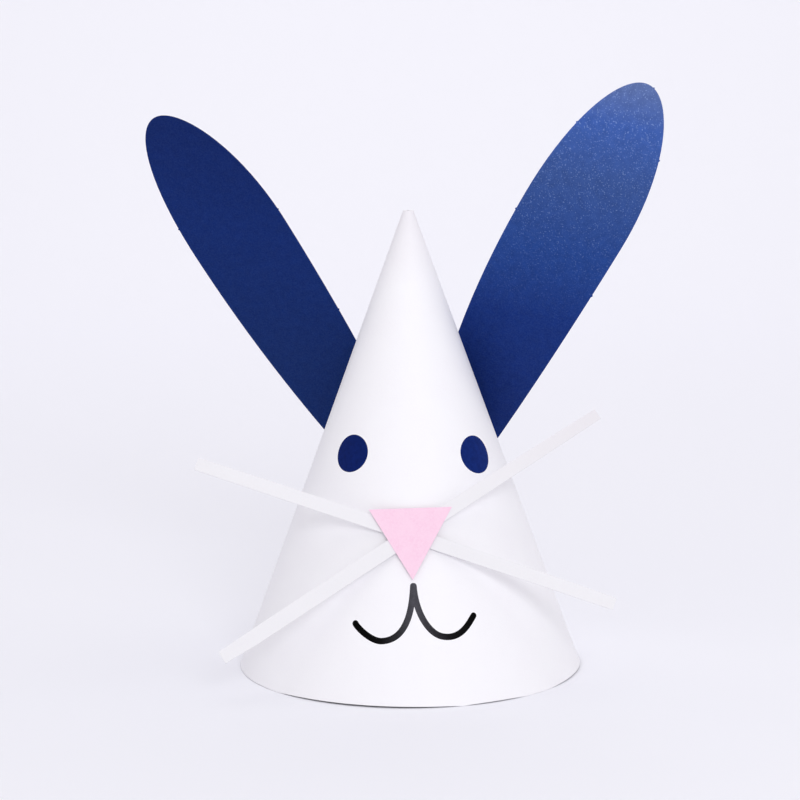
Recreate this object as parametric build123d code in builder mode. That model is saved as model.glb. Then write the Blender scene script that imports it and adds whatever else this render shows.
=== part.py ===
"""A rolled cone hat of thin card with a rabbit's ears, whiskers and nose.

Millimetres. The hat stands on its hem: the origin is the centre of the hem circle, +Z runs up to
the tip, and the face looks along -Y, so +X is the viewer's right. An azimuth is an angle about +Z
from +X. A drop is a distance down the slope from the cone's sharp point, and a lift is a distance
outward from its outer surface, square to it.
"""
from build123d import *
from math import asin, cos, degrees, radians, sin, sqrt
import os

# Card and glue
card = 0.35
glue_line = 0.05

# Cone, measured on its outer surface
base_diameter = 120.0
half_angle = 19.95
tip_opening = 3.6

# Seam: one end of the rolled sheet climbs over the other and is glued down
lap_width = 12.0
lap_rise_angle = 2.5
seam_gap_angle = 3.0

# Face: the line down the front that the whiskers and the nose lie along
face_azimuth = -89.0
whisker_length = 150.0
whisker_width = 4.7
under_whisker_across = -2.0
under_whisker_drop = 118.7
under_whisker_turn = -18.5
over_whisker_across = 0.6
over_whisker_drop = 118.0
over_whisker_turn = 33.0
nick_from_end = 10.6
nick_radius = 0.4
nose_side = 28.0
nose_across = -0.2
nose_drop = 116.7
nose_turn = 1.4

# Ears: one leaf cut twice, with shifts to the right as seen from the back
ear_length = 183.0
ear_width = 37.9
ear_widest_from_tip = 54.3
ear_tip_shift = 1.4
ear_tip_bluntness = 9.3
ear_flank_fullness = 32.9
ear_end_radius = 8.0
ear_end_shift = -7.1

# Each ear bows evenly over this length of the leaf, by an angle at its tip: plus is backward, never 0
bow_length = 130.0
right_ear_bow = 16.0
left_ear_bow = -8.0

# Nibs on the ears' edges: each one's side (1 right, -1 left) and its height above the widest place
nib_radius = 0.3
tip_nib_drop = 0.2
right_ear_nibs = [(-1, 34.0), (1, 30.5), (1, -7.5), (-1, -20.5)]
left_ear_nibs = [(-1, 5.0), (1, 12.1), (-1, -38.8)]

# Ears: each leaves the back of the cone along a line, and is placed by the middle of its round end
right_ear_azimuth = 68.0
right_end_across = 3.5
right_end_drop = 114.4
right_ear_turn = 33.4
left_ear_azimuth = 76.0
left_end_across = 7.4
left_end_drop = 124.6
left_ear_turn = -23.4

# Worked out from the sizes above
slope = radians(half_angle)
base_radius = base_diameter / 2
apex_height = base_radius * cos(slope) / sin(slope)
tip_radius = tip_opening / 2
tip_height = apex_height - tip_radius * cos(slope) / sin(slope)
first_lift = glue_line
second_lift = first_lift + card + glue_line
half_ear = ear_width / 2
below_widest = ear_length - ear_widest_from_tip - ear_end_radius
bow_start = ear_widest_from_tip - bow_length

# The seam starts just past the right ear's end, so that neither end of the sheet lies under it
right_ear_reach = degrees(asin((right_end_across + ear_end_radius) / (right_end_drop * sin(slope))))
lap_angle = degrees(lap_width / base_radius)
rise_azimuth = right_ear_azimuth + right_ear_reach + seam_gap_angle
lap_azimuth = rise_azimuth + lap_rise_angle


def radial_plane(azimuth):
    """The upright plane through the cone's axis: x outward, y up."""
    a = radians(azimuth)
    return Plane(origin=(0, 0, 0), x_dir=(cos(a), sin(a), 0), z_dir=(sin(a), -cos(a), 0))


def touching_plane(azimuth, lift):
    """The plane that lies along one line of the cone, from its sharp point, seen from outside.

    x runs to the right, y up the slope and z outward.
    """
    a = radians(azimuth)
    outward = Vector(cos(slope) * cos(a), cos(slope) * sin(a), sin(slope))
    point = Vector(0, 0, apex_height) + outward * lift
    return Plane(origin=point, x_dir=(-sin(a), cos(a), 0), z_dir=outward)


def sheet_section(low, high):
    """The outline of a sheet between two lifts, cut level at the hem and at the tip."""
    inner = low / cos(slope)
    outer = high / cos(slope)
    Polyline(
        (base_radius + inner, 0),
        (base_radius + outer, 0),
        (tip_radius + outer, tip_height),
        (tip_radius + inner, tip_height),
        close=True,
    )


# The cone: a sheet once round, the lap of its end over its beginning, and the step between them
with BuildPart() as cone:
    with BuildSketch(radial_plane(lap_azimuth)):
        with BuildLine():
            sheet_section(-card, 0)
        make_face()
    revolve(axis=Axis.Z, revolution_arc=360 - lap_rise_angle)
    with BuildSketch(radial_plane(lap_azimuth)):
        with BuildLine():
            sheet_section(0, card)
        make_face()
    revolve(axis=Axis.Z, revolution_arc=lap_angle)
    with BuildSketch(radial_plane(rise_azimuth)):
        with BuildLine():
            sheet_section(-card, 0)
        make_face()
    with BuildSketch(radial_plane(lap_azimuth)):
        with BuildLine():
            sheet_section(0, card)
        make_face()
    loft(ruled=True)


def bow_radius(bow):
    return bow_length / radians(bow)


def flat_height(height, bow):
    """Where a height on the leaf comes in the flat ear's plane, once the leaf is bowed out of it."""
    return bow_start + bow_radius(bow) * sin((height - bow_start) / bow_radius(bow))


def ear_edge(side, bow):
    """Half of an ear's outline as seen square to its plane: side is 1 right or -1 left."""
    widest = flat_height(0, bow)
    tip = flat_height(ear_widest_from_tip, bow)
    Bezier(
        (side * half_ear, widest),
        (side * half_ear, flat_height(ear_flank_fullness, bow)),
        (ear_tip_shift + side * ear_tip_bluntness, tip),
        (ear_tip_shift, tip),
    )
    drop = below_widest + widest
    width = half_ear - side * ear_end_shift
    radius = (drop**2 + width**2 - ear_end_radius**2) / (2 * (width - ear_end_radius))
    bend = degrees(asin(drop / (radius - ear_end_radius)))
    lower = JernArc((side * half_ear, widest), (0, -1), radius, -side * bend)
    JernArc(lower @ 1, lower % 1, ear_end_radius, -side * (90 - bend))


def outline_point(line, side, height, bow):
    """The point of an ear's outline at a height on the leaf above its widest place, to one side."""
    level = flat_height(height, bow)
    across = Edge.make_line((0, level), (side * ear_width, level))
    return line.distance_to_with_closest_points(across)[1]


def bow_section(bow):
    """The sheet from the side where it bows: x up the ear, on past its tip, and y backward."""
    front = bow_radius(bow)
    back = front - card
    middle = (bow_start, front)
    tangent = -90 if bow > 0 else 90
    turn = 2 * bow
    x = sin(radians(turn))
    y = cos(radians(turn))
    CenterArc(middle, abs(front), tangent, turn)
    CenterArc(middle, abs(back), tangent, turn)
    Line((bow_start, 0), (bow_start, card))
    Line((bow_start + front * x, front - front * y), (bow_start + back * x, front - back * y))


def ear_plane(touching, across, drop, turn):
    """An ear's plane, upright in it, from the middle of its widest place, set by its round end's middle."""
    end = Location((across, -drop, 0), (0, 0, turn))
    widest = Location((-ear_end_shift, below_widest, 0))
    return Plane(touching.location * end * widest)


def make_ear(plane, lift, first_azimuth, last_azimuth, bow, nibs):
    """A leaf of card that hugs the cone between two lines of it, runs on flat and then bows.

    The nibs are left on its edge where it was torn from its card.
    """
    reach = ear_length + apex_height
    with BuildPart() as sheet:
        for azimuth, side in ((first_azimuth, -1), (last_azimuth, 1)):
            with BuildSketch(touching_plane(azimuth, lift)):
                with Locations((side * reach / 2, 0)):
                    Rectangle(reach, 2 * reach)
            extrude(amount=card)
        with BuildSketch(radial_plane(first_azimuth)):
            with BuildLine():
                sheet_section(lift, lift + card)
            make_face()
        revolve(axis=Axis.Z, revolution_arc=last_azimuth - first_azimuth)
        with BuildSketch(plane):
            with Locations((0, bow_start + reach)):
                Rectangle(2 * reach, 2 * reach)
        extrude(amount=base_radius, both=True, mode=Mode.SUBTRACT)
        with BuildSketch(Plane(origin=plane.origin, x_dir=plane.y_dir, z_dir=plane.x_dir)):
            with BuildLine():
                bow_section(bow)
            make_face()
        extrude(amount=ear_width, both=True)
    with BuildPart() as ear:
        with BuildSketch(plane):
            with BuildLine() as outline:
                ear_edge(1, bow)
                ear_edge(-1, bow)
            make_face()
            with Locations(*[outline_point(outline.line, side, height, bow) for side, height in nibs]):
                Circle(nib_radius)
        extrude(amount=base_radius, both=True)
        add(sheet.part, mode=Mode.INTERSECT)
    return ear.part


# The ears: the right one is glued to the cone, and the left one over its end
right_touching = touching_plane(right_ear_azimuth, first_lift)
right_plane = ear_plane(right_touching, right_end_across, right_end_drop, right_ear_turn)
left_touching = touching_plane(left_ear_azimuth, second_lift)
left_plane = ear_plane(left_touching, left_end_across, left_end_drop, left_ear_turn)
tip_nib = (-1, ear_widest_from_tip - tip_nib_drop)

with BuildPart() as ear_right:
    nibs = [tip_nib] + right_ear_nibs
    add(make_ear(right_plane, first_lift, right_ear_azimuth, rise_azimuth, right_ear_bow, nibs))

with BuildPart() as ear_left:
    add(make_ear(left_plane, second_lift, right_ear_azimuth, left_ear_azimuth, left_ear_bow, left_ear_nibs))

# The whiskers: two straight strips, one across the other, held where they touch the cone
with BuildPart() as whisker_under:
    with BuildSketch(touching_plane(face_azimuth, first_lift)):
        with Locations((under_whisker_across, -under_whisker_drop)):
            Rectangle(whisker_length, whisker_width, rotation=under_whisker_turn)
    extrude(amount=card)

with BuildPart() as whisker_over:
    with BuildSketch(touching_plane(face_azimuth, first_lift + card)):
        with Locations(Location((over_whisker_across, -over_whisker_drop, 0), (0, 0, over_whisker_turn))):
            Rectangle(whisker_length, whisker_width)
            with Locations((nick_from_end - whisker_length / 2, -whisker_width / 2)):
                Circle(nick_radius, mode=Mode.SUBTRACT)
    extrude(amount=card)

# The nose: a flat triangle, point down, over the crossing
with BuildPart() as nose:
    with BuildSketch(touching_plane(face_azimuth, first_lift + 2 * card)):
        with Locations((nose_across, -nose_drop)):
            RegularPolygon(nose_side / sqrt(3), 3, rotation=nose_turn - 90)
    extrude(amount=card)

cone.part.label = "cone"
ear_left.part.label = "ear_left"
ear_right.part.label = "ear_right"
whisker_under.part.label = "whisker_under"
whisker_over.part.label = "whisker_over"
nose.part.label = "nose"

os.makedirs("parts", exist_ok=True)
export_step(cone.part, "parts/cone.step")
export_step(ear_left.part, "parts/ear_left.step")
export_step(ear_right.part, "parts/ear_right.step")
export_step(whisker_under.part, "parts/whisker_under.step")
export_step(whisker_over.part, "parts/whisker_over.step")
export_step(nose.part, "parts/nose.step")
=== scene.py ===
"""A rolled paper hat with a rabbit's face, standing on a pale floor.

Metres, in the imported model's frame: the hat stands on z = 0 at the origin, +Z is up and the face looks
along -Y. Sizes with no other unit are in millimetres and degrees.

An azimuth is an angle about +Z from the front, plus to the viewer's right. A place on the sheet of card
laid flat is (x right, y up) from the cone's sharp point, with the front line running straight down.
"""
from math import atan2, ceil, cos, degrees, hypot, pi, radians, sin, tan
import bpy
from mathutils import Matrix, Vector
from mathutils.geometry import delaunay_2d_cdt


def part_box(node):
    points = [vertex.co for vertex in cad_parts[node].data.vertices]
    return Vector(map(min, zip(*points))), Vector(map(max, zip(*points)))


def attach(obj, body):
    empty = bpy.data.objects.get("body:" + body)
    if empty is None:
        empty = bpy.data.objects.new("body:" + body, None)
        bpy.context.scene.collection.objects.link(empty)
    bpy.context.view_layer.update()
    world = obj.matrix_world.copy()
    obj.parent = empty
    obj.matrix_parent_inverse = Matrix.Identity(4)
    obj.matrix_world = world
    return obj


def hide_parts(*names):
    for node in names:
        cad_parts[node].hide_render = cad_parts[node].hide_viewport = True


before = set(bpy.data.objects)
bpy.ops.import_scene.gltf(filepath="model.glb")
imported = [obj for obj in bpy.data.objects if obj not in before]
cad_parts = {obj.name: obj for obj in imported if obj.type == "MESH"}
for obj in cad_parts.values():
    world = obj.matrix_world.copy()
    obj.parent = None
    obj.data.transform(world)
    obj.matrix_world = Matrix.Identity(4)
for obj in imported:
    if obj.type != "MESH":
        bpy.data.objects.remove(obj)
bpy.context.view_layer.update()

MM = 0.001

# The card's thickness, and the cone's true surface as packed: its outer face, clear of the seam. A distance
# down is measured along its slope from the sharp point.
CARD = 0.35
HALF_ANGLE = 19.95
SLOPE = radians(HALF_ANGLE)
HEM_RADIUS = -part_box("cone")[0].y / MM
TIP_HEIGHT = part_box("cone")[1].z / MM
APEX = HEM_RADIUS / tan(SLOPE)
HEM_DOWN = HEM_RADIUS / sin(SLOPE)
TIP_DOWN = (APEX - TIP_HEIGHT) / cos(SLOPE)

# The seam down the back: the azimuths where the sheet's upper end starts to climb, where it lies on the
# lower end, and where it stops
SEAM_RISE = 178.135
SEAM_LAP = 180.635
SEAM_END = 192.094

# Hem: the azimuths where it touches the floor, how far it stands clear between each and the next, how
# full each gap's arch is (1 is a sine's, less is fuller), and how far up the slope the wave reaches
HEM_TOUCHES = (-47.5, 17.0, 40.0, 54.0, 118.0, 190.0, 262.0)
HEM_GAPS = (0.66, 0.4, 0.07, 0.62, 0.3, 0.3, 0.22)
HEM_POWER = 0.45
HEM_REACH = 14.0

# At the tip the sheet's inner layer is wound in by this much, and nearly closes the opening
TIP_WOUND = 0.9

# Eyes: azimuth, distance down and radius
LEFT_EYE = (-39.3, 90.95, 6.55)
RIGHT_EYE = (46.3, 92.0, 6.65)

# Mouth: two strokes, each two joined curves on the flat sheet, turned about the sharp point. STROKE is
# half a stroke's width. A stroke starts at STROKE_START of that, and is full after STROKE_GROWS of its
# first curve.
MOUTH_TURN = 1.5
STROKE = 1.08
STROKE_START = 0.98
STROKE_GROWS = 0.3
LEFT_STROKE = (
    (-0.1, -134.85), (-0.6, -144.8), (-3.25, -153.0), (-10.85, -153.15),
    (-14.7, -153.2), (-19.6, -148.0), (-20.05, -146.8),
)
RIGHT_STROKE = (
    (0.05, -134.85), (0.65, -144.15), (5.05, -151.0), (9.55, -151.8),
    (16.1, -153.0), (19.0, -147.1), (20.75, -144.55),
)

# Whiskers: strips on the plane that touches the cone along the line at this azimuth. Each has its middle
# (right, down from the sharp point) and its turn. It is cut by hand: the places of its ends along it, its
# widths at them, and how far its real line stands above the straight one at HALF_WHISKER to the left, in the
# middle and at HALF_WHISKER to the right. GLUE is the thickness of a line of glue.
FACE_AZIMUTH = 1.0
HALF_WHISKER = 75.0
UNDER_WHISKER = ((-2.0, 118.7), -18.5, (-75.2, 73.5), (4.3, 4.15), (2.2, 1.9, 0.55))
OVER_WHISKER = ((0.6, 118.0), 33.0, (-76.0, 75.3), (4.55, 3.8), (1.2, 1.4, 0.3))
GLUE = 0.05

# A burr that the scissors left on a strip's lower edge: its start, point and stop along it, and its height
BURR = (-65.4, -64.1, -63.5, 0.7)

# The blue card's colour goes by the height along this direction, between these two heights: painted sheen
# lightens the right ear towards its tip, and painted shade darkens the left ear's tip.
PAINTED_LIGHT_UP = (0.212, 0.166, 0.963)
PAINTED_LIGHT_LOW = 95
PAINTED_LIGHT_HIGH = 209

# Fineness of the meshes: steps round the cone, round the climbing seam, down the slope and down its last
# band at the hem, along a strip, and round an eye, each curve of a stroke and its round end. The cone's
# grid keeps PRINT_CLEARANCE away from the outlines of the print.
TURN_STEP = 3.0
SEAM_STEP = 0.5
DOWN_STEP = 6.0
HEM_BAND = 12.0
HEM_STEP = 2.0
STRIP_STEP = 5.0
EYE_STEPS = 72
CURVE_STEPS = 30
CAP_STEPS = 12
PRINT_CLEARANCE = 1.1

# Options of the flat triangulation: keep what lies inside the outlines, and merge places this near
INSIDE_ONLY = 1
MERGE = 1e-7

# Material slots of the cone, and of a strip
WHITE, NAVY, BLACK, EDGE = range(4)
FACE_SLOT, RIM_SLOT = range(2)

# A noise's values that a material spreads to 0 and 1: the nearer they are, the crisper its blotches
SOFT = (0.3, 0.7)
CRISP = (0.35, 0.65)
# The noise levels that place the blue card's painted glints
PAINTED_GLINT_LEVELS = (0.60, 0.74)

RIGHTWARD = (1, 0, 0)
UPWARD = (0, 0, 1)


def srgb(r, g, b):
    """A linear colour from a displayed one, 0 to 255."""
    def lin(v):
        v /= 255
        return v / 12.92 if v <= 0.04045 else ((v + 0.055) / 1.055) ** 2.4
    return (lin(r), lin(g), lin(b), 1.0)


def spaced(low, high, step):
    """Values from low to high, both included, at equal steps of at most this size."""
    count = max(1, ceil((high - low) / step))
    return [low + (high - low) * k / count for k in range(count + 1)]


# ---- The cone's shape ----

def lift_out(azimuth):
    """How far the outer face stands off the cone's true surface: the lap climbs by a card's thickness."""
    return CARD * min(1.0, max(0.0, (azimuth - SEAM_RISE) / (SEAM_LAP - SEAM_RISE)))


def hem_gap(azimuth):
    """How far the hem stands clear of the floor."""
    first = HEM_TOUCHES[0]
    a = first + (azimuth - first) % 360
    ends = HEM_TOUCHES[1:] + (first + 360,)
    for start, end, gap in zip(HEM_TOUCHES, ends, HEM_GAPS):
        if a <= end:
            return gap * abs(sin(pi * (a - start) / (end - start))) ** HEM_POWER
    return 0.0


def on_cone(azimuth, down, lift):
    """The point at an azimuth, a distance down the slope and a lift off the true surface, in metres."""
    a = radians(azimuth)
    r = down * sin(SLOPE) + lift / cos(SLOPE)
    low = max(0.0, 1 - (HEM_DOWN - down) / HEM_REACH)
    z = APEX - down * cos(SLOPE) + hem_gap(azimuth) * low * low
    return Vector((r * sin(a), -r * cos(a), z)) * MM


def outward(azimuth):
    """The direction square to the cone at an azimuth."""
    a = radians(azimuth)
    return Vector((cos(SLOPE) * sin(a), -cos(SLOPE) * cos(a), sin(SLOPE)))


def flat_place(azimuth, down):
    """The place on the flat sheet of a point of the cone."""
    a = radians(azimuth) * sin(SLOPE)
    return Vector((down * sin(a), -down * cos(a)))


def rolled_place(p):
    """(azimuth, down) of a place on the flat sheet."""
    return degrees(atan2(p[0], -p[1])) / sin(SLOPE), hypot(p[0], p[1])


# ---- Outlines of the print and of the strips, counter-clockwise ----

def circle_outline(azimuth, down, radius):
    middle = flat_place(azimuth, down)
    angles = (2 * pi * k / EYE_STEPS for k in range(EYE_STEPS))
    return [middle + Vector((cos(t), sin(t))) * radius for t in angles]


def bezier(points):
    """Places along a curve with four control points, without its last."""
    a, b, c, d = (Vector(p) for p in points)
    for k in range(CURVE_STEPS):
        t = k / CURVE_STEPS
        yield (1 - t) ** 3 * a + 3 * (1 - t) ** 2 * t * b + 3 * (1 - t) * t * t * c + t ** 3 * d


def stroke_outline(points):
    """The outline of a stroke with round ends along two joined curves."""
    spin = Matrix.Rotation(radians(MOUTH_TURN) * sin(SLOPE), 2)
    line = [spin @ p for p in (*bezier(points[:4]), *bezier(points[3:]), Vector(points[6]))]
    last = len(line) - 1
    along = [(line[min(k + 1, last)] - line[max(k - 1, 0)]).normalized() for k in range(last + 1)]
    grown = STROKE_GROWS * CURVE_STEPS
    halves = [STROKE * min(1.0, STROKE_START + (1 - STROKE_START) * k / grown) for k in range(last + 1)]
    side = [Vector((-d.y, d.x)) * h for d, h in zip(along, halves)]
    left = [p + s for p, s in zip(line, side)]
    right = [p - s for p, s in zip(line, side)]
    caps = []
    for end, s, d in ((line[-1], side[-1], along[-1]), (line[0], -side[0], -along[0])):
        angles = (pi * k / CAP_STEPS for k in range(1, CAP_STEPS))
        caps.append([end + s * cos(t) + d * s.length * sin(t) for t in angles])
    return (left + caps[0] + right[::-1] + caps[1])[::-1]


def whisker_outline(middle, turn, ends, widths, heights, burr=None):
    """A hand-cut strip's outline on its plane, with a burr left on its lower edge or none."""
    at_left, at_middle, at_right = heights
    slant = (at_right - at_left) / 2
    bend = (at_left + at_right) / 2 - at_middle

    def edge(u, side):
        s = u / HALF_WHISKER
        share = (u - ends[0]) / (ends[1] - ends[0])
        width = widths[0] + (widths[1] - widths[0]) * share
        rise = at_middle + slant * s + bend * s * s
        return Vector((u, rise + side * width / 2))

    steps = spaced(ends[0], ends[1], STRIP_STEP)
    lower = [edge(u, -1) for u in steps]
    if burr:
        start, point, stop, height = burr
        lower = [p for p in lower if not start <= p.x <= stop]
        lower += [edge(start, -1), edge(point, -1) - Vector((0, height)), edge(stop, -1)]
        lower.sort(key=lambda p: p.x)
    spin = Matrix.Rotation(radians(turn), 2)
    move = Vector((middle[0], -middle[1]))
    return [spin @ p + move for p in lower + [edge(u, 1) for u in reversed(steps)]]


# ---- Meshes ----

def new_object(name, vertices, faces, materials, slots=None, normals=None):
    """An object of a mesh, smooth where it is given a normal for each face's corners."""
    mesh = bpy.data.meshes.new(name)
    mesh.from_pydata([tuple(v) for v in vertices], [], faces)
    for material in materials:
        mesh.materials.append(material)
    if slots:
        mesh.polygons.foreach_set("material_index", slots)
    mesh.validate()
    mesh.update()
    if normals:
        mesh.polygons.foreach_set("use_smooth", [True] * len(mesh.polygons))
        mesh.normals_split_custom_set(normals)
    made = bpy.data.objects.new(name, mesh)
    bpy.context.scene.collection.objects.link(made)
    return made


def face_up(spots, corners):
    """A flat cell's corners, counter-clockwise."""
    a, b, c = (spots[k] for k in corners[:3])
    return list(corners) if (b - a).cross(c - a) > 0 else list(corners)[::-1]


def cut_sheet(turns, downs):
    """The sheet laid flat and cut along its own outline, a grid and the outlines of the print.

    Returns its places, its cells as (corners, slot), and which place is at each (turn, down) of its rim.
    """
    prints = [circle_outline(*LEFT_EYE), circle_outline(*RIGHT_EYE)]
    prints += [stroke_outline(LEFT_STROKE), stroke_outline(RIGHT_STROKE)]
    ring_slots = [WHITE, NAVY, NAVY, BLACK, BLACK]
    outline_places = [q for outline in prints for q in outline]

    last_i, last_j = len(turns) - 1, len(downs) - 1
    places, index = [], {}
    for i, azimuth in enumerate(turns):
        for j, down in enumerate(downs):
            p = flat_place(azimuth, down)
            on_rim = i in (0, last_i) or j in (0, last_j)
            if on_rim or all((p - q).length >= PRINT_CLEARANCE for q in outline_places):
                index[i, j] = len(places)
                places.append(p)

    # The sheet's own ring comes first, then the print's
    rim = [(0, j) for j in range(1, last_j + 1)] + [(i, last_j) for i in range(1, last_i + 1)]
    rim += [(last_i, j) for j in range(last_j - 1, -1, -1)] + [(i, 0) for i in range(last_i - 1, -1, -1)]
    rings = [[index[k] for k in rim]]
    for outline in prints:
        rings.append(list(range(len(places), len(places) + len(outline))))
        places += outline

    spots, _, cells, came_from, _, inside = delaunay_2d_cdt(places, [], rings, INSIDE_ONLY, MERGE, True)
    where = {source: k for k, sources in enumerate(came_from) for source in sources}
    pieces = [
        (face_up(spots, corners), ring_slots[max(around)])
        for corners, around in zip(cells, inside) if 0 in around
    ]
    return spots, pieces, {k: where[index[k]] for k in rim}


def make_cone(materials):
    """The rolled sheet as one closed solid, its outer face cut along the outlines of the print."""
    turns = sorted({round(a, 6) for a in (
        *spaced(SEAM_END - 360, SEAM_RISE, TURN_STEP),
        *spaced(SEAM_RISE, SEAM_LAP, SEAM_STEP),
        *spaced(SEAM_LAP, SEAM_END, TURN_STEP),
    )})
    downs = spaced(TIP_DOWN, HEM_DOWN - HEM_BAND, DOWN_STEP)
    downs += spaced(HEM_DOWN - HEM_BAND, HEM_DOWN, HEM_STEP)[1:]
    last_i, last_j = len(turns) - 1, len(downs) - 1
    lap = min(range(len(turns)), key=lambda i: abs(turns[i] - SEAM_LAP))
    spots, pieces, outer = cut_sheet(turns, downs)

    # Each vertex, and the direction that its side of the sheet faces there
    vertices, facing = [], []

    def vertex(azimuth, down, lift, direction):
        vertices.append(on_cone(azimuth, down, lift))
        facing.append(direction)
        return len(vertices) - 1

    for p in spots:
        azimuth, down = rolled_place(p)
        vertex(azimuth, down, lift_out(azimuth), outward(azimuth))

    # The inner face runs once round. At the lap it has a step: the end of the layer that has climbed, and
    # below it the sheet's lower end, where the first layer starts.
    inner, inner_start = {}, {}
    thickness = [CARD + TIP_WOUND] + [CARD] * last_j
    for i, azimuth in enumerate(turns[:-1]):
        for j, down in enumerate(downs):
            rise = lift_out(azimuth) if i <= lap else 0.0
            inner[i, j] = vertex(azimuth, down, rise - thickness[j], -outward(azimuth))
    for j, down in enumerate(downs):
        inner_start[j] = vertex(SEAM_LAP, down, -thickness[j], -outward(SEAM_LAP))

    def inner_from(i, j):
        return inner_start[j] if i == lap else inner[i, j]

    def inner_to(i, j):
        return inner[i % last_i, j]

    faces, slots, normals = [], [], []

    def face(corners, slot, smooth=True):
        a, b, c = (vertices[k] for k in corners[:3])
        flat = (b - a).cross(c - b).normalized()
        faces.append(tuple(corners))
        slots.append(slot)
        normals.extend(facing[k] if smooth else flat for k in corners)

    for corners, slot in pieces:
        face(corners, slot)
    for i in range(last_i):
        for j in range(last_j):
            face((inner_to(i + 1, j), inner_to(i + 1, j + 1), inner_from(i, j + 1), inner_from(i, j)), WHITE)

    # The sheet's two ends, and its cut edges at the tip and at the hem
    for j in range(last_j):
        end = (outer[last_i, j], outer[last_i, j + 1], outer[0, j + 1], outer[0, j])
        face(end, EDGE, smooth=False)
        face((inner[lap, j], inner_start[j], inner_start[j + 1], inner[lap, j + 1]), EDGE, smooth=False)
    for j in (0, last_j):
        for i in range(last_i):
            ring = [outer[i, j], outer[i + 1, j]]
            if i + 1 == last_i:
                ring.append(outer[0, j])
            ring += [inner_to(i + 1, j), inner_from(i, j)]
            if i == lap:
                ring.append(inner[lap, j])
            face(ring[::-1] if j else ring, EDGE, smooth=False)
    return new_object("hat_cone", vertices, faces, materials, slots, normals)


def make_strip(name, outline, lift, materials):
    """A flat strip on the plane that touches the cone's front, from its outline and its back's lift."""
    a = radians(FACE_AZIMUTH)
    out = outward(FACE_AZIMUTH)
    side = Vector((cos(a), sin(a), 0))
    rise = out.cross(side)
    apex = Vector((0, 0, APEX))
    spots, _, cells, *_ = delaunay_2d_cdt(outline, [], [list(range(len(outline)))], INSIDE_ONLY, MERGE, False)
    count = len(spots)
    lifts = (lift, lift + CARD)
    vertices = [(apex + out * h + side * p.x + rise * p.y) * MM for h in lifts for p in spots]
    faces, slots, edges = [], [], {}
    for corners in cells:
        front = face_up(spots, corners)
        faces += [tuple(k + count for k in front), tuple(front[::-1])]
        slots += [FACE_SLOT, FACE_SLOT]
        for pair in zip(front, front[1:] + front[:1]):
            edges[pair] = True
    for k, m in edges:
        if (m, k) not in edges:
            faces.append((k, m, m + count, k + count))
            slots.append(RIM_SLOT)
    return new_object(name, vertices, faces, materials, slots)


# ---- Materials ----

def node(tree, kind, **values):
    """A new shader node, with some of its options set."""
    made = tree.nodes.new(kind)
    for name, value in values.items():
        setattr(made, name, value)
    return made


def new_material(name, roughness, specular):
    """(material, tree, its Principled shader, its coordinates in millimetres)."""
    material = bpy.data.materials.new(name)
    material.use_nodes = True
    tree = material.node_tree
    shader = tree.nodes["Principled BSDF"]
    shader.inputs["Roughness"].default_value = roughness
    shader.inputs["Specular IOR Level"].default_value = specular
    place = node(tree, "ShaderNodeTexCoord")
    scale = node(tree, "ShaderNodeVectorMath", operation="SCALE")
    scale.inputs["Scale"].default_value = 1 / MM
    tree.links.new(place.outputs["Object"], scale.inputs[0])
    return material, tree, shader, scale.outputs[0]


def ramp(tree, value, low, high):
    """value, spread from low..high to 0..1."""
    made = node(tree, "ShaderNodeMapRange")
    made.inputs["From Min"].default_value = low
    made.inputs["From Max"].default_value = high
    tree.links.new(value, made.inputs["Value"])
    return made.outputs[0]


def noise(tree, place, size, levels, detail=3.0, roughness=0.5):
    """A noise whose blotches are about this size, with its values at these two levels spread to 0 and 1."""
    made = node(tree, "ShaderNodeTexNoise")
    made.inputs["Scale"].default_value = 1 / size
    made.inputs["Detail"].default_value = detail
    made.inputs["Roughness"].default_value = roughness
    tree.links.new(place, made.inputs["Vector"])
    return ramp(tree, made.outputs[0], *levels)


def along(tree, place, direction):
    """How far a place lies along a direction."""
    made = node(tree, "ShaderNodeVectorMath", operation="DOT_PRODUCT")
    made.inputs[1].default_value = direction
    tree.links.new(place, made.inputs[0])
    return made.outputs["Value"]


def mix_colours(tree, share, first, second):
    """first, turned to second by a share from 0 to 1. Each is a value or a node's output."""
    made = node(tree, "ShaderNodeMix", data_type="RGBA")
    for socket, value in ((made.inputs[0], share), (made.inputs[6], first), (made.inputs[7], second)):
        if isinstance(value, (tuple, float)):
            socket.default_value = value
        else:
            tree.links.new(value, socket)
    return made.outputs[2]


def colour_stops(tree, value, stops):
    """A colour for a value: stops are (value, colour) from low to high."""
    low, high = stops[0][0], stops[-1][0]
    made = node(tree, "ShaderNodeValToRGB")
    elements = made.color_ramp.elements
    while len(elements) < len(stops):
        elements.new(0.5)
    for element, (at, colour) in zip(elements, stops):
        element.position = (at - low) / (high - low)
        element.color = colour
    tree.links.new(ramp(tree, value, low, high), made.inputs[0])
    return made.outputs[0]


def bump(tree, shader, height, distance):
    made = node(tree, "ShaderNodeBump")
    made.inputs["Strength"].default_value = 1.0
    made.inputs["Distance"].default_value = distance * MM
    tree.links.new(height, made.inputs["Height"])
    tree.links.new(made.outputs[0], shader.inputs["Normal"])


def paper(name, base, shade, roughness, specular, tooth=0.012, tooth_size=0.45, cloud_size=9.0, painted_shade=None):
    """A sheet of card: its colour drifts to shade in soft clouds, and its face has a fine tooth.

    painted_shade is (direction, near, far, colour): between these two distances along it, it turns to that
    colour, a painted shade.
    """
    material, tree, shader, place = new_material(name, roughness, specular)
    clouds = noise(tree, place, cloud_size, SOFT)
    grain = noise(tree, place, tooth_size, CRISP, roughness=0.6)
    body = mix_colours(tree, grain, mix_colours(tree, clouds, base, shade), base)
    if painted_shade:
        direction, near, far, colour = painted_shade
        body = mix_colours(tree, ramp(tree, along(tree, place, direction), near, far), body, colour)
    tree.links.new(body, shader.inputs["Base Color"])
    bump(tree, shader, grain, tooth)
    return material


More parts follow.
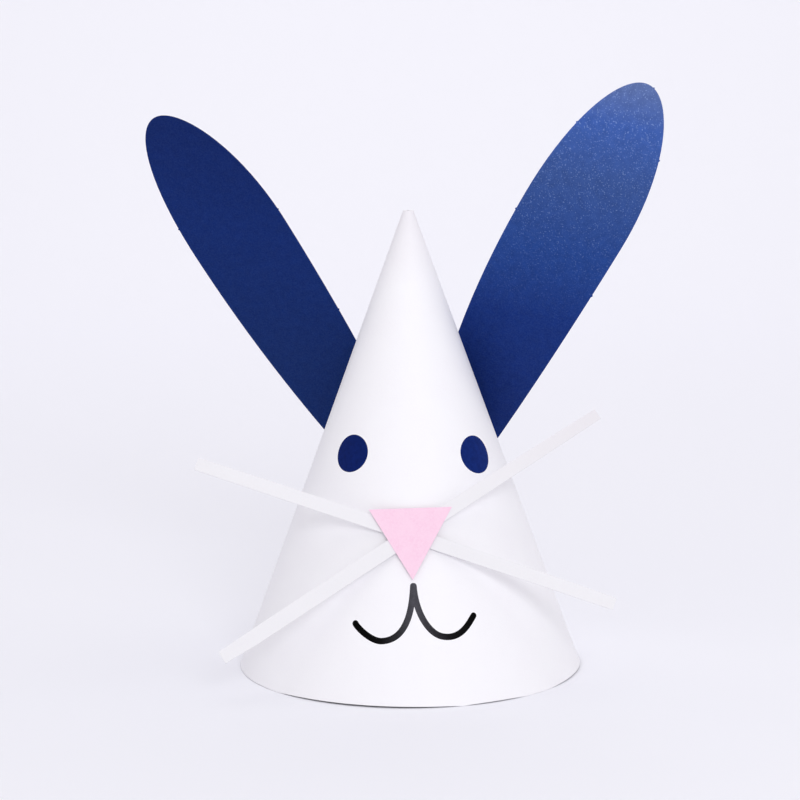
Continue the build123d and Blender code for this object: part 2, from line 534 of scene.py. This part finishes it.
def blue_card(name, stops, painted_glint_heights, grain_share):
    """Dark blue card with a fine pearl in its face: its colour goes by height, with painted sheen and painted
    shade in its stops, and painted glints lighten specks in it.

    The painted glints grow from none to full between painted_glint_heights.
    """
    deep_blue, grain_blue, glint_blue = srgb(6, 18, 64), srgb(120, 150, 215), srgb(150, 176, 228)
    cloud_share, glint_share = 0.2, 0.62
    metal, grain_depth = 0.3, 0.02

    material, tree, shader, place = new_material(name, roughness=0.5, specular=0.05)
    shader.inputs["Metallic"].default_value = metal
    height = along(tree, place, PAINTED_LIGHT_UP)
    grain = noise(tree, place, size=0.55, levels=SOFT, roughness=0.6)
    clouds = noise(tree, place, size=2.4, levels=SOFT)
    body = colour_stops(tree, height, stops)
    body = mix_colours(tree, clouds, mix_colours(tree, cloud_share, body, deep_blue), body)
    grained = mix_colours(tree, grain, body, mix_colours(tree, grain_share, body, grain_blue))
    # Painted glints: specks turn towards a light blue, more the higher they lie.
    glint = mix_colours(tree, glint_share, body, glint_blue)
    painted_glint_mask = node(tree, "ShaderNodeMath", operation="MULTIPLY")
    tree.links.new(ramp(tree, height, *painted_glint_heights), painted_glint_mask.inputs[0])
    tree.links.new(noise(tree, place, size=0.5, levels=PAINTED_GLINT_LEVELS, detail=1.0), painted_glint_mask.inputs[1])
    tree.links.new(mix_colours(tree, painted_glint_mask.outputs[0], grained, glint), shader.inputs["Base Color"])
    bump(tree, shader, grain, grain_depth)
    return material


def ink(name, stops, roughness, specular):
    """Printed ink: its colour goes by the place to the right, which carries painted highlight and sheen in
    its stops, and it is thicker in soft clouds.
    """
    thin_share, thick_share = 0.12, 0.312
    grain_depth = 0.006

    material, tree, shader, place = new_material(name, roughness, specular)
    grain = noise(tree, place, size=0.4, levels=CRISP)
    clouds = noise(tree, place, size=1.3, levels=SOFT, detail=2.0)
    body = colour_stops(tree, along(tree, place, RIGHTWARD), stops)
    black = (0.0, 0.0, 0.0, 1.0)
    thin = mix_colours(tree, grain, body, mix_colours(tree, thin_share, body, black))
    thick = mix_colours(tree, thick_share, body, black)
    tree.links.new(mix_colours(tree, clouds, thin, thick), shader.inputs["Base Color"])
    bump(tree, shader, grain, grain_depth)
    return material


# Painted shade: the white card turns greyer towards the cone's tip, where less light falls.
tip_painted_shade = (UPWARD, 136, 163, srgb(239, 236, 241))
# Painted shade: the upper strip's paper turns greyer towards its right end, which turns away from the light.
right_end_painted_shade = (RIGHTWARD, 10, 62, srgb(235, 232, 236))
paper_white, paper_shade = srgb(241, 240, 243), srgb(238, 237, 240)

white_card = paper(
    "white_card", srgb(250, 249, 252), srgb(248, 246, 250),
    roughness=0.55, specular=0.25, tooth=0.008, painted_shade=tip_painted_shade)
card_edge = paper(
    "card_edge", srgb(243, 241, 245), srgb(232, 229, 234),
    roughness=0.8, specular=0.1, tooth_size=0.2)
white_paper = paper("white_paper", paper_white, paper_shade, roughness=0.7, specular=0.1)
# The upper strip's paper, with painted shade towards its right end.
white_paper_painted_shade = paper("white_paper_painted_shade", paper_white, paper_shade, roughness=0.7, specular=0.1, painted_shade=right_end_painted_shade)
# Painted shade: the strips' cut edges are dark grey, to deepen the shadow line along them.
paper_edge_painted_shade = paper(
    "paper_edge_painted_shade", srgb(205, 203, 206), srgb(190, 188, 192),
    roughness=0.8, specular=0.1, tooth_size=0.2)
pink_card = paper(
    "pink_card", srgb(253, 217, 236), srgb(250, 208, 230),
    roughness=0.75, specular=0.1, tooth=0.03, tooth_size=0.9, cloud_size=4.0)

# The navy ink lightens to the right, so the right eye is lighter: painted sheen.
navy_ink = ink("navy_ink", [
    (-30, srgb(10, 32, 100)), (30, srgb(19, 45, 121)),
], roughness=0.5, specular=0.05)
# The black ink is grey in the middle of the mouth and near black at its ends: a painted highlight.
black_ink = ink("black_ink", [
    (-19, srgb(3, 3, 3)), (-14, srgb(7, 7, 8)), (-9.6, srgb(15, 15, 16)),
    (-3, srgb(56, 55, 60)), (1.5, srgb(86, 85, 92)), (6, srgb(62, 60, 66)),
    (13, srgb(25, 22, 26)), (18, srgb(13, 13, 14)), (22, srgb(4, 4, 5)),
], roughness=0.5, specular=0.04)

# The left ear's blue darkens towards its tip: painted shade where the tip bends down.
blue_left_painted_shade = blue_card("blue_card_left_painted_shade", [
    (PAINTED_LIGHT_LOW, srgb(16, 42, 101)),
    (135, srgb(14, 42, 109)),
    (PAINTED_LIGHT_HIGH, srgb(7, 26, 84)),
], painted_glint_heights=(180, 1200), grain_share=0.045)
# The right ear's blue lightens towards its tip, and its painted glints grow there: painted sheen.
blue_right_painted_sheen = blue_card("blue_card_right_painted_sheen", [
    (PAINTED_LIGHT_LOW, srgb(21, 46, 117)),
    (128, srgb(19, 49, 123)),
    (151, srgb(37, 71, 144)),
    (176, srgb(60, 88, 152)),
    (195, srgb(67, 101, 180)),
    (PAINTED_LIGHT_HIGH, srgb(101, 122, 176)),
], painted_glint_heights=(124, 208), grain_share=0.06)

# ---- The hat ----

cone = make_cone([white_card, navy_ink, black_ink, card_edge])
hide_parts("cone")
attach(cone, "root")

for node_name, name, outline, lift, material in (
    ("whisker_under", "strip_under", whisker_outline(*UNDER_WHISKER), GLUE, white_paper),
    ("whisker_over", "strip_over", whisker_outline(*OVER_WHISKER, BURR), GLUE + CARD, white_paper_painted_shade),
):
    strip = make_strip(name, outline, lift, [material, paper_edge_painted_shade])
    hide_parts(node_name)
    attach(strip, "root")

for name, material in (("ear_left", blue_left_painted_shade), ("ear_right", blue_right_painted_sheen), ("nose", pink_card)):
    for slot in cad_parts[name].material_slots:
        slot.material = material

# ---- Floor, light and camera, in metres ----

FLOOR_SIDE = 2.4
WALL_HEIGHT = 1.6
BEND = 0.5
BEND_STEPS = 24
FRONT_EDGE = -1.2
BACK_EDGE = 1.3
SKY_STRENGTH = 0.685
HAT_MIDDLE = (0, 0, 0.09)
WALL_FOOT = (0, 1.05, 0.1)

# The floor bends up into the wall
bend_angles = [pi / 2 * k / BEND_STEPS for k in range(1, BEND_STEPS + 1)]
profile = [(FRONT_EDGE, 0.0), (BACK_EDGE - BEND, 0.0)]
profile += [(BACK_EDGE - BEND + BEND * sin(t), BEND * (1 - cos(t))) for t in bend_angles]
profile += [(BACK_EDGE, WALL_HEIGHT)]
floor_vertices = [Vector((x, y, z)) for y, z in profile for x in (-FLOOR_SIDE, FLOOR_SIDE)]
floor_faces = [(2 * k, 2 * k + 1, 2 * k + 3, 2 * k + 2) for k in range(len(profile) - 1)]
floor_material, _, floor_shader, _ = new_material("pale_floor", roughness=0.9, specular=0.05)
floor_shader.inputs["Base Color"].default_value = srgb(244, 244, 250)
floor = new_object("floor", floor_vertices, floor_faces, [floor_material])
floor.data.polygons.foreach_set("use_smooth", [True] * len(floor.data.polygons))

world = bpy.data.worlds.new("studio")
bpy.context.scene.world = world
world.use_nodes = True
background = world.node_tree.nodes["Background"]
background.inputs["Color"].default_value = srgb(251, 249, 251)
background.inputs["Strength"].default_value = SKY_STRENGTH


def softbox(name, azimuth, elevation, distance, width, height, power, aim=HAT_MIDDLE, tint=(1, 1, 1)):
    """A soft oblong lamp that looks at aim from this far away."""
    data = bpy.data.lights.new(name, "AREA")
    data.shape = "RECTANGLE"
    data.size, data.size_y = width, height
    data.energy = power
    data.color = tint
    lamp = bpy.data.objects.new(name, data)
    a, e = radians(azimuth), radians(elevation)
    away = Vector((sin(a) * cos(e), -cos(a) * cos(e), sin(e)))
    lamp.location = Vector(aim) + away * distance
    lamp.rotation_mode = "QUATERNION"
    lamp.rotation_quaternion = away.to_track_quat("Z", "Y")
    bpy.context.scene.collection.objects.link(lamp)


softbox("key", azimuth=14, elevation=24, distance=1.5, width=0.5, height=0.4, power=5.25,
        tint=(0.975, 0.99, 1.0))
softbox("top", azimuth=0, elevation=86, distance=1.4, width=1.2, height=1.2, power=4.35)
softbox("back", azimuth=0, elevation=88, distance=0.85, width=1.5, height=0.5, power=1.8, aim=WALL_FOOT)

# The camera's lens, its place and the directions of its right and up
LENS = 126.458
SENSOR = 36.0
PLACE = Vector((0.0, -0.965655, 0.259827))
RIGHT = Vector((0.99998516, 0.00242405, -0.00487988))
UP = Vector((0.00439941, 0.16919432, 0.98557289))
BACK = RIGHT.cross(UP)

camera_data = bpy.data.cameras.new("camera")
camera_data.sensor_width = SENSOR
camera_data.lens = LENS
camera = bpy.data.objects.new("camera", camera_data)
camera.matrix_world = Matrix.Translation(PLACE) @ Matrix((RIGHT, UP, BACK)).transposed().to_4x4()
bpy.context.scene.collection.objects.link(camera)
bpy.context.scene.camera = camera
bpy.context.scene.view_settings.view_transform = "Standard"

bpy.context.view_layer.update()
